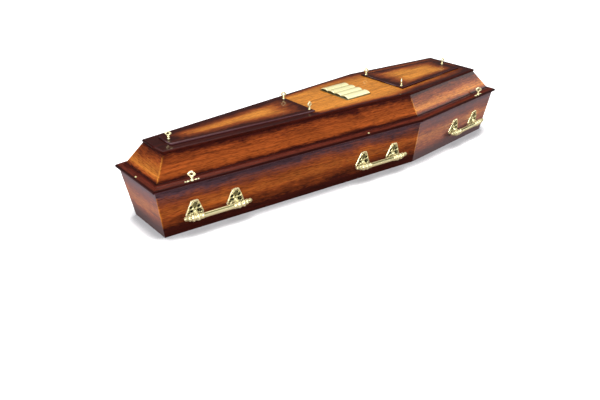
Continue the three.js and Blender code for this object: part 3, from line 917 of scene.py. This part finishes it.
def plate_relief(x, y):
    """Height of the cast relief over the plate's back, and its painted shade: darker inside the border,
    lighter on the straps and the arch, dull on the dome, which stands for the shaded middle of the
    openwork, and black in the holes.
    """
    from_edge = from_plate_edge(x, y, 0.95)
    height = 1.4 + 5.0 * hill(from_edge - 4.0, 4.5)
    dark = smooth(from_edge, 6.0, 8.5)
    for lean in (-1, 1):
        across = abs(math.cos(0.8) * x + lean * math.sin(0.8) * (y - 14))
        strap = hill(across, 3.4) * smooth(30.0 - y, 0.0, 4.0)
        if strap > 0.02 and from_edge > 2:
            height = max(height, 2.0 + 4.0 * strap)
            dark *= 1 - smooth(strap, 0.2, 0.8)
    from_dome = math.hypot(x, (y - DOME_HEIGHT) / 1.2)
    arch = hill(from_dome - 14.2, 1.8)
    height = max(height, 2.0 + 4.0 * arch)
    dark *= 1 - 0.7 * smooth(arch, 0.2, 0.8)
    if from_dome < 12.5:
        dome = hill(from_dome, 10.5)
        height = 1.2 + 4.8 * dome
        dark = 0.78 if dome > 0.15 else 1.0
    for hole_x, hole_y, radius in PLATE_HOLES:
        from_hole = math.hypot(abs(x) - hole_x, y - hole_y)
        if from_hole < radius + 3.0:
            inside = smooth(radius - from_hole, -1.0, 1.0)
            rim = 2.0 + 4.2 * hill(from_hole - radius - 1.6, 2.0)
            height = max(height, rim) * (1 - inside) + 0.8 * inside
            dark = max(dark * smooth(from_hole, radius, radius + 3.0), inside)
    return height, min(1.0, dark)


def cast_plate(bm, hollow):
    """The plate with its relief in front, its thin rim and its flat back."""
    rows_up, columns = 60, 52
    front = []
    for j in range(rows_up + 1):
        y = -PLATE_DROP + (PLATE_DROP + PLATE_RISE) * j / rows_up
        row = []
        for i in range(columns + 1):
            share = -1 + 2 * i / columns
            x = math.copysign(abs(share) ** 0.92, share) * plate_half_width(y)
            height, dark = plate_relief(x, y)
            height *= 0.45 + 0.55 * hill(max(0.0, 2.2 - from_plate_edge(x, y)), 2.2)
            vert = bm.verts.new(Vector((x, y, height)) * MM)
            vert[hollow] = dark
            row.append(vert)
        front.append(row)
    grid_faces(bm, front, False)
    ring = front[0] + [row[-1] for row in front[1:-1]] + front[-1][::-1]
    ring += [row[0] for row in front[-2:0:-1]]
    back = [bm.verts.new(Vector((v.co.x, v.co.y, 0))) for v in ring]
    for k in range(len(ring)):
        m = (k + 1) % len(ring)
        bm.faces.new((ring[m], ring[k], back[k], back[m]))
    bm.faces.new(back[::-1])


def cast_arm(bm, hollow):
    """The arm from the plate out to the eye, a rounded box that narrows."""
    arm = [(1.0, 12.0, 17.0, 4.0), (5.0, 11.0, 16.0, 4.0), (9.0, 8.4, 14.0, 3.5), (14, 7.0, 12.6, 2.6),
           (20, 7.0, 11.8, 1.4), (26, 7.6, 11.8, 0.6), (32, 7.8, 11.0, 0.0)]

    def place(station, angle):
        out, half_x, half_y, middle = station
        c, s = math.cos(angle), math.sin(angle)
        x = half_x * math.copysign(abs(c) ** 0.75, c)
        y = middle + half_y * math.copysign(abs(s) ** 0.75, s)
        return Vector((x, y, out)) * MM

    # Painted shade on the arm, darkest where it meets the plate.
    tube(bm, arm, 28, place, lambda station, angle: 0.8 * smooth(14 - station[0], 0, 10), hollow)


def cast_eye(bm, hollow):
    """The ring that holds the bar, with a bead at each end."""
    end = [(9.4, 0.4), (11.5, 0.0), (13.4, 0.7), (14.2, 2.4), (13.2, 3.8), (14.6, 5.4)]
    profile = [(radius, inwards - EYE_LENGTH / 2) for radius, inwards in end]
    profile += [(15.4, -2.2), (15.5, 0.0), (15.4, 2.2)]
    profile += [(radius, -at) for radius, at in reversed(profile[:len(end)])]
    around = 40
    rows = []
    for radius, at in profile:
        row = []
        for k in range(around):
            angle = 2 * math.pi * k / around
            spot = Vector((at, radius * math.cos(angle), REACH + radius * math.sin(angle)))
            vert = bm.verts.new(spot * MM)
            # Painted shade on the eye's thinner parts: its inner ends and the groove between its beads.
            vert[hollow] = 0.5 if radius < 13.3 else 0.0
            row.append(vert)
        rows.append(row)
    grid_faces(bm, rows, True, True)


def bracket():
    bm, hollow = new_fitting()
    cast_plate(bm, hollow)
    cast_arm(bm, hollow)
    cast_eye(bm, hollow)
    bmesh.ops.recalc_face_normals(bm, faces=bm.faces)
    return bm


bars, brackets = {}, {}
for where, form in (("foot", "long"), ("middle", "long"), ("head", "short")):
    for hand in ("left", "right"):
        handle = hand + "_" + where + "_handle"
        normal = wall_normals[hand + "_" + form]
        low, high = box_corners(handle + "_bar")
        centre = (low + high) / 2
        along = Vector((0, 0, 1)).cross(normal).normalized()
        turn = Matrix((along, normal.cross(along), normal)).transposed()
        bars[handle + "_bar"] = (centre, turn)
        for number, way in ((1, -1), (2, 1)):
            at = centre + along * way * SPACING / 2 * MM - normal * REACH * MM
            brackets["%s_bracket_%d" % (handle, number)] = (at, turn)
keep(set_fittings("handle_bars", handle_bar(), bars.values()), bars)
keep(set_fittings("handle_brackets", bracket(), brackets.values()), brackets)


# Open book

COVER, COVER_MARGIN = 2.4, 4.0


def leaf_height(y, half_y):
    """Height of the leaves over the book's back, at a distance from the spine, with two rolls a side."""
    share = min(abs(y) / half_y, 1.0)
    roll = abs(math.sin(2 * math.pi * share)) ** 0.55
    return COVER * 0.9 + 3.6 + 10.4 * roll * (1 - 0.12 * share)


def book_cover(bm, hollow, half_x, half_y):
    corners = [(-half_x, -half_y), (half_x, -half_y), (half_x, half_y), (-half_x, half_y)]
    lower, upper = [[bm.verts.new(Vector((x, y, z)) * MM) for x, y in corners] for z in (0.0, COVER)]
    # Painted shade: the cover is dark all over, standing for the shadow gap under the leaves.
    for vert in lower + upper:
        vert[hollow] = 0.85
    for k in range(4):
        m = (k + 1) % 4
        bm.faces.new((lower[k], lower[m], upper[m], upper[k]))
    bm.faces.new(lower[::-1])
    bm.faces.new(upper)


def leaf_wall(bm, hollow, line, dark_above, dark_below, flipped):
    """A wall from a line of the leaves down into the cover."""
    above = [bm.verts.new(v.co.copy()) for v in line]
    below = [bm.verts.new(Vector((v.co.x, v.co.y, 0.5 * COVER * MM))) for v in line]
    for verts, dark in ((above, dark_above), (below, dark_below)):
        for vert in verts:
            vert[hollow] = dark
    for i in range(len(line) - 1):
        quad = (above[i], above[i + 1], below[i + 1], below[i])
        bm.faces.new(quad if flipped else quad[::-1])


def book_leaves(bm, hollow, half_x, half_y):
    """The rolled leaves, with painted shade along the spine and the folds, and the walls that close them.
    """
    ease_at, middle_steps, across = 2.0, 24, 96
    straight = 2 * (half_x - ease_at)
    slices = [-half_x, -half_x + 0.8]
    slices += [-half_x + ease_at + straight * i / middle_steps for i in range(middle_steps + 1)]
    slices += [half_x - 0.8, half_x]
    rows = []
    for x in slices:
        ease = 0.75 + 0.25 * hill(max(0.0, ease_at - (half_x - abs(x))), ease_at)
        row = []
        for i in range(across + 1):
            y = -half_y + 2 * half_y * i / across
            rise = leaf_height(y, half_y) - COVER * 0.9
            vert = bm.verts.new(Vector((x, y, COVER * 0.9 + rise * ease)) * MM)
            share = min(abs(y) / half_y, 1.0)
            from_fold = min(share, abs(share - 0.5), 1 - share) * half_y
            vert[hollow] = 0.9 * (1.0 - smooth(from_fold, 1.0, 4.2)) if share < 0.97 else 0.0
            row.append(vert)
        rows.append(row)
    grid_faces(bm, rows, False)
    # Painted shade on the walls: darkest at the ends, less along the sides.
    leaf_wall(bm, hollow, rows[0], 0.9, 1.0, False)
    leaf_wall(bm, hollow, rows[-1], 0.9, 1.0, True)
    leaf_wall(bm, hollow, [row[0] for row in rows], 0.62, 0.62, True)
    leaf_wall(bm, hollow, [row[-1] for row in rows], 0.62, 0.62, False)


def page_stroke():
    """A shallow stroke across a page, standing for a line of an inscription. It is no letter."""
    bm, hollow = new_fitting()
    bmesh.ops.create_cube(bm, size=1.0)
    for vert in bm.verts:
        vert.co = Vector((vert.co.x * 1.3, vert.co.y * 4.6, vert.co.z * 0.8)) * MM
        vert[hollow] = 0.6
    return bm


def page_marks(half_x, half_y):
    """Rows of strokes on the far pages, laid to the slope of the leaves."""
    margin, row_pitch = 8.0, 6.0
    places = []
    for k in range(int((2 * half_x - 2 * margin) / row_pitch) + 1):
        for share in (0.1, 0.19, 0.28, 0.37, 0.6, 0.69, 0.78, 0.87):
            y = share * half_y
            slope = leaf_height(y + 0.5, half_y) - leaf_height(y - 0.5, half_y)
            at = Vector((-half_x + margin + row_pitch * k, y, leaf_height(y, half_y))) * MM
            places.append((at, Matrix.Rotation(math.atan(slope), 3, "X")))
    return set_fittings("page_marks", page_stroke(), places, PALE_BRASS, 0.25, 7)


def open_book(length, width):
    bm, hollow = new_fitting()
    half_x, half_y = length / 2 - COVER_MARGIN, width / 2 - COVER_MARGIN
    book_cover(bm, hollow, length / 2, width / 2)
    book_leaves(bm, hollow, half_x, half_y)
    bmesh.ops.recalc_face_normals(bm, faces=bm.faces)
    marks = page_marks(half_x, half_y)
    bm.from_mesh(marks.data)
    bpy.data.objects.remove(marks)
    return bm


low, high = box_corners("open_book")
size = (high - low) / MM
book_at = Vector(((low.x + high.x) / 2, (low.y + high.y) / 2, low.z))
book = set_fittings("book", open_book(size.x, size.y), [(book_at, Matrix.Identity(3))], PALE_BRASS)
keep(book, ["open_book"])


# Camera, floor and light

def camera_at(azimuth, elevation, roll, target, distance, right_by, up_by, lens):
    """A camera at the photo's angle, in degrees, moved sideways and up across its own view."""
    around, over, lean = (math.radians(v) for v in (azimuth, elevation, roll))
    back = Vector((math.sin(around) * math.cos(over), -math.cos(around) * math.cos(over), math.sin(over)))
    right = Vector((0, 0, 1)).cross(back).normalized()
    up = back.cross(right)
    right, up = (right * math.cos(lean) + up * math.sin(lean),
                 up * math.cos(lean) - right * math.sin(lean))
    data = bpy.data.cameras.new("camera")
    data.lens = lens
    data.sensor_width = 36.0
    data.sensor_fit = "HORIZONTAL"
    data.clip_end = 200.0
    obj = in_scene("camera", data)
    matrix = Matrix((right, up, back)).transposed().to_4x4()
    matrix.translation = Vector(target) + back * distance + right * right_by + up * up_by
    obj.matrix_world = matrix
    bpy.context.scene.camera = obj


camera_at(azimuth=-39.2777, elevation=27.7232, roll=-0.1564, target=(0, 0, 0.24), distance=3.15924,
          right_by=-0.13713, up_by=-0.39995, lens=38.209)


def floor_material():
    """A floor that looks white, with a painted contact shadow, grey with a lilac tint, where the box nearly
    touches it, and that throws little light back.
    """
    material, net, shader = new_material("Pale floor")
    seen = net.add("ShaderNodeLightPath").outputs["Is Camera Ray"]
    place = net.add("ShaderNodeTexCoord").outputs["Object"]
    away = net.add("ShaderNodeVectorMath", operation="LENGTH")
    net.put(away.inputs[0], place)
    # Painted shadow: ambient occlusion darkens the floor's colour and its glow where the box nearly touches
    # it.
    contact = net.add("ShaderNodeAmbientOcclusion", samples=12)
    contact.inputs["Distance"].default_value = 0.085
    lit = net.remap(contact.outputs["AO"], 0.62, 0.95, 0.34, 1.0)
    glow = net.math("MULTIPLY", net.remap(away.outputs["Value"], 0.5, 6.0, 0.5, 1.0), lit)
    pale = net.mix(lit, (0.1, 0.1, 0.1, 1), (0.93, 0.93, 0.93, 1))
    past_foot = net.remap(net.separate(place)["X"], -1.5, -1.0)
    bounced = net.mix(past_foot, (0.9, 0.8, 0.85, 1), (0.2, 0.14, 0.13, 1))
    net.put(shader["Base Color"], net.mix(seen, bounced, pale))
    net.put(shader["Emission Color"], net.mix(lit, (0.86, 0.86, 1, 1), (1, 1, 1, 1)))
    # The floor glows for the camera only, less near the coffin and in the painted shadow.
    net.put(shader["Emission Strength"], net.math("MULTIPLY", seen, glow))
    shader["Roughness"].default_value = 0.9
    shader["Specular IOR Level"].default_value = 0.0
    return material


floor_grid = bmesh.new()
bmesh.ops.create_grid(floor_grid, x_segments=1, y_segments=1, size=20.0)
finished("floor", floor_grid, floor_material())


def softbox(name, at, target, width, height, power):
    """An area light that faces a target."""
    data = bpy.data.lights.new(name, "AREA")
    data.shape = "RECTANGLE"
    data.size = width
    data.size_y = height
    data.energy = power
    obj = in_scene(name, data)
    obj.location = at
    obj.rotation_euler = (Vector(target) - Vector(at)).to_track_quat("-Z", "Y").to_euler()
    return obj


softbox("overhead", (-0.4, 0.3, 4.0), (0, 0, 0), 4.2, 3.2, 180)
strip = softbox("strip", (2.8, -1.9, 4.2), (0, 0, 0.3), 5.0, 0.4, 22)
softbox("beside_camera", (-2.6, -3.6, 2.6), (0, 0, 0.2), 2.4, 1.8, 130)
softbox("left_side", (-4.6, -1.2, 0.9), (-0.8, 0, 0.2), 1.8, 1.6, 110)
softbox("right_side", (4.6, -2.3, 1.9), (0.7, 0, 0.3), 2.0, 2.0, 36)
right_front = softbox("right_front", (3.0, -3.8, 1.1), (0.5, 0, 0.15), 1.8, 1.2, 150)
# The strip stays level along the coffin, and only leans towards it.
strip.rotation_euler = (0.42, 0, 0)
# Mirrored in the lid, the front light would blot out the lacquer when seen from behind.
right_front.visible_glossy = False

world = bpy.data.worlds.new("studio")
world.use_nodes = True
backdrop = world.node_tree.nodes["Background"].inputs
net = Net(world.node_tree)
seen_directly = net.add("ShaderNodeLightPath").outputs["Is Camera Ray"]
net.put(backdrop["Strength"], net.remap(seen_directly, 0.0, 1.0, 0.14, 1.0))
backdrop["Color"].default_value = (0.95, 0.97, 1.0, 1)
bpy.context.scene.world = world
bpy.context.scene.view_settings.view_transform = "Standard"
